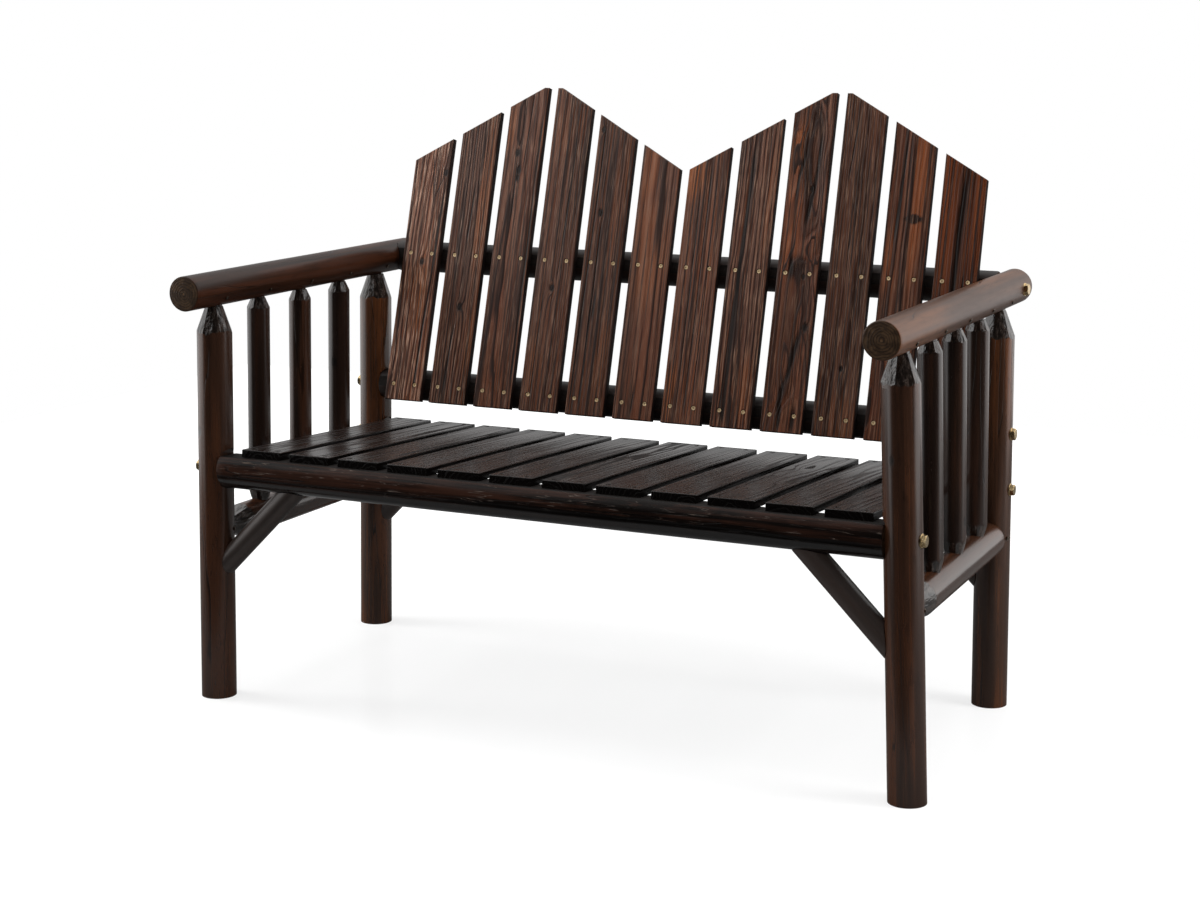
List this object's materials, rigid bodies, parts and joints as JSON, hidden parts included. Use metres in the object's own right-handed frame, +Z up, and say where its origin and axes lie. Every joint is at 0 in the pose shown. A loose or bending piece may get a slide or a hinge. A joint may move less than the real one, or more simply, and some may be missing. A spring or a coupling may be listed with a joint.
{
  "type": "garden loveseat",
  "caption": "Rustic log garden loveseat: round posts and rails, slatted seat and a reclined slatted back sawn to two gables, with log armrests over spindles.",
  "frame": {"origin": "on the floor, under the middle of the bench's overall footprint", "axes": "+X along the bench's width, to the right as seen by someone facing it; +Y towards the back; +Z up"},
  "size_m": [1.2706, 0.7258, 1.0058],
  "materials": {
    "post_log": "dark stained fir log, satin",
    "armrest_log": "dark stained fir log, satin, greyer sheen on top",
    "frame_log": "near-black stained fir log with worn red-brown streaks, semi-gloss",
    "spindle_log": "dark stained peeled pole, satin",
    "seat_board": "near-black brushed fir board, semi-gloss",
    "back_board": "wire-brushed carbonised fir board with raised dark grain",
    "yellow_zinc": "yellow zinc plated steel",
    "screw_zinc": "yellow zinc plated steel, dulled",
    "nail_steel": "dull steel nail head"
  },
  "bodies": {
    "root": {"front_left_post": "post_log", "front_right_post": "post_log", "rear_left_post": "post_log", "rear_right_post": "post_log", "left_armrest": "armrest_log", "left_side_stretcher": "frame_log", "left_spindle_1": "spindle_log", "left_spindle_2": "spindle_log", "left_spindle_3": "spindle_log", "right_armrest": "armrest_log", "right_side_stretcher": "frame_log", "right_spindle_1": "spindle_log", "right_spindle_2": "spindle_log", "right_spindle_3": "spindle_log", "front_seat_rail": "frame_log", "rear_seat_rail": "frame_log", "lower_back_rail": "frame_log", "upper_back_rail": "frame_log", "front_left_brace": "spindle_log", "front_right_brace": "spindle_log", "rear_left_brace": "spindle_log", "rear_right_brace": "spindle_log", "seat_slat_01": "seat_board", "back_slat_01": "back_board", "seat_slat_02": "seat_board", "back_slat_02": "back_board", "seat_slat_03": "seat_board", "back_slat_03": "back_board", "seat_slat_04": "seat_board", "back_slat_04": "back_board", "seat_slat_05": "seat_board", "back_slat_05": "back_board", "seat_slat_06": "seat_board", "back_slat_06": "back_board", "seat_slat_07": "seat_board", "back_slat_07": "back_board", "seat_slat_08": "seat_board", "back_slat_08": "back_board", "seat_slat_09": "seat_board", "back_slat_09": "back_board", "seat_slat_10": "seat_board", "back_slat_10": "back_board", "seat_slat_11": "seat_board", "back_slat_11": "back_board", "seat_slat_12": "seat_board", "back_slat_12": "back_board", "frame_bolts": "yellow_zinc", "bolt_washers": "yellow_zinc", "seat_slat_screws": "screw_zinc", "back_slat_screws": "screw_zinc", "tenon_nails": "nail_steel"}
  },
  "joints": []
}
